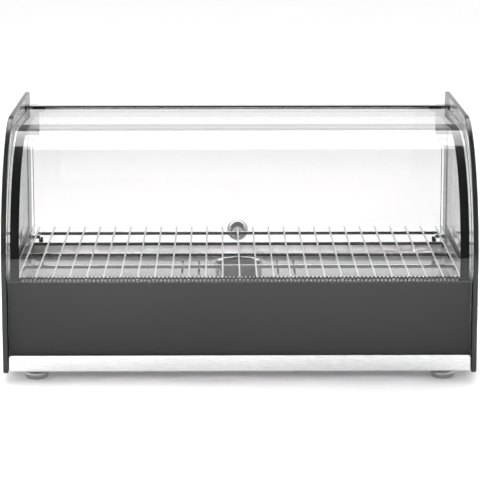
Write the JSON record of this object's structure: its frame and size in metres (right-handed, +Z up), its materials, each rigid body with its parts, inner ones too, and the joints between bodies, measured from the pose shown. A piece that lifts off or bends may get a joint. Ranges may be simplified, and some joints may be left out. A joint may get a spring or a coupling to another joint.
{
  "type": "hot food display case",
  "caption": "Countertop heated food display case with curved front glass, wire rack over a heated deck and a top-hung glass rear door.",
  "frame": {"origin": "on the surface it stands on, under the middle of the case measured from the side panels' front edges to the back of the door knob", "axes": "+X to the right seen from the front, +Y from the front to the back, +Z up"},
  "size_m": [0.554, 0.384, 0.297],
  "materials": {
    "panel_glass": "thick clear glass, black printed on its lower part, polished edges",
    "clear_glass": "clear toughened glass with a black printed border",
    "stainless": "brushed stainless steel",
    "polished_steel": "polished stainless steel",
    "chrome": "bright chrome plate",
    "zinc": "zinc-plated steel, satin",
    "black_plastic": "moulded black plastic",
    "rubber": "matt black rubber",
    "nylon": "natural nylon",
    "red_lens": "clear red plastic",
    "mineral_board": "pressed mineral fibre",
    "brass": "plain brass"
  },
  "bodies": {
    "case": {"side_panel_left": "panel_glass", "side_panel_right": "panel_glass", "front_glass": "clear_glass", "rear_top_rail": "stainless", "rear_rail_seal": "rubber", "front_trim_strip": "stainless", "base_tray": "stainless", "rear_panel": "stainless", "rear_screw_lower_left": "zinc", "rear_screw_upper_left": "zinc", "rear_screw_lower_right": "zinc", "rear_screw_upper_right": "zinc", "door_bumper_left": "rubber", "door_bumper_right": "rubber", "heated_deck": "polished_steel", "rack_stud_front_left": "chrome", "rack_stud_front_right": "chrome", "rack_stud_rear_left": "chrome", "rack_stud_rear_right": "chrome", "pivot_bush_left": "stainless", "pivot_bush_right": "stainless", "foot_front_left": "chrome", "foot_front_right": "chrome", "foot_rear_left": "chrome", "foot_rear_right": "chrome", "foot_pad_front_left": "rubber", "foot_pad_front_right": "rubber", "foot_pad_rear_left": "rubber", "foot_pad_rear_right": "rubber", "foot_nut_front_left": "zinc", "foot_nut_front_right": "zinc", "foot_nut_rear_left": "zinc", "foot_nut_rear_right": "zinc", "heater_front": "zinc", "heater_rear": "zinc", "insulation_board": "mineral_board", "temperature_bulb": "brass", "thermostat_body": "zinc", "thermostat_dial_ring": "stainless", "switch_housing": "black_plastic", "pilot_lamp_body": "black_plastic", "pilot_lamp_lens": "red_lens", "terminal_block": "nylon", "cable_gland": "black_plastic", "cable_gland_nut": "black_plastic"},
    "door": {"door_glass": "clear_glass", "hinge_clamp_left": "zinc", "hinge_clamp_right": "zinc", "door_knob": "chrome", "door_knob_washer": "rubber", "door_knob_screw": "chrome"},
    "rack": {"wire_rack": "chrome"},
    "cup": {"water_cup": "polished_steel"},
    "dial": {"thermostat_knob": "black_plastic"},
    "rocker": {"switch_rocker": "black_plastic"}
  },
  "joints": [
    {"name": "door_hinge", "type": "hinge", "parent": "case", "child": "door", "pos_m": [0, 0.1605, 0.278], "axis": [1, 0, 0], "range_deg": [0, 85]},
    {"name": "rack_lift", "type": "slide", "parent": "case", "child": "rack", "axis": [0, 0, 1], "range_m": [0, 0.03]},
    {"name": "cup_lift", "type": "slide", "parent": "case", "child": "cup", "axis": [0, 0, 1], "range_m": [0, 0.004]},
    {"name": "thermostat_turn", "type": "hinge", "parent": "case", "child": "dial", "pos_m": [-0.1, 0.16, 0.054], "axis": [0, -1, 0], "range_deg": [0, 270]},
    {"name": "switch_tilt", "type": "hinge", "parent": "case", "child": "rocker", "pos_m": [-0.19, 0.1518, 0.054], "axis": [1, 0, 0], "range_deg": [0, 14]}
  ]
}
